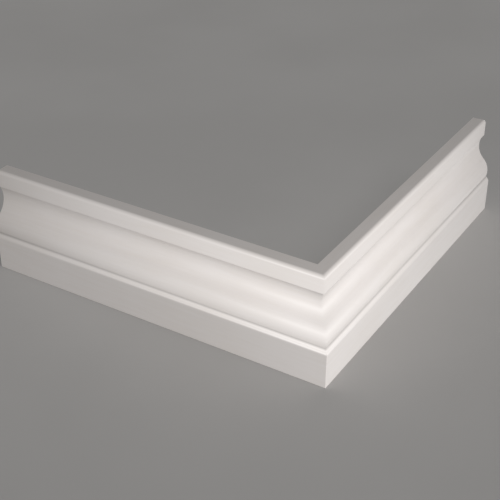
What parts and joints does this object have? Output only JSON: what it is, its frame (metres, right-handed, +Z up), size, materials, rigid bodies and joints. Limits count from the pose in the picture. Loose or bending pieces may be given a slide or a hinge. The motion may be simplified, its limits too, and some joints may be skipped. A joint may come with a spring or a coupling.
{
  "type": "skirting board corner",
  "caption": "External corner of ogee skirting board: mitred lengths of one moulded section that meet at a right angle and cover the foot of a wall.",
  "frame": {"origin": "foot of the wall's corner, where the two back faces and the floor meet", "axes": "+Z up; the left board runs along -X with its moulded face to -Y, the right board runs along +Y with its moulded face to +X"},
  "size_m": [0.322, 0.322, 0.09],
  "materials": {
    "white_paint": "satin"
  },
  "bodies": {
    "root": {"left_board": "white_paint", "right_board": "white_paint"}
  },
  "joints": []
}
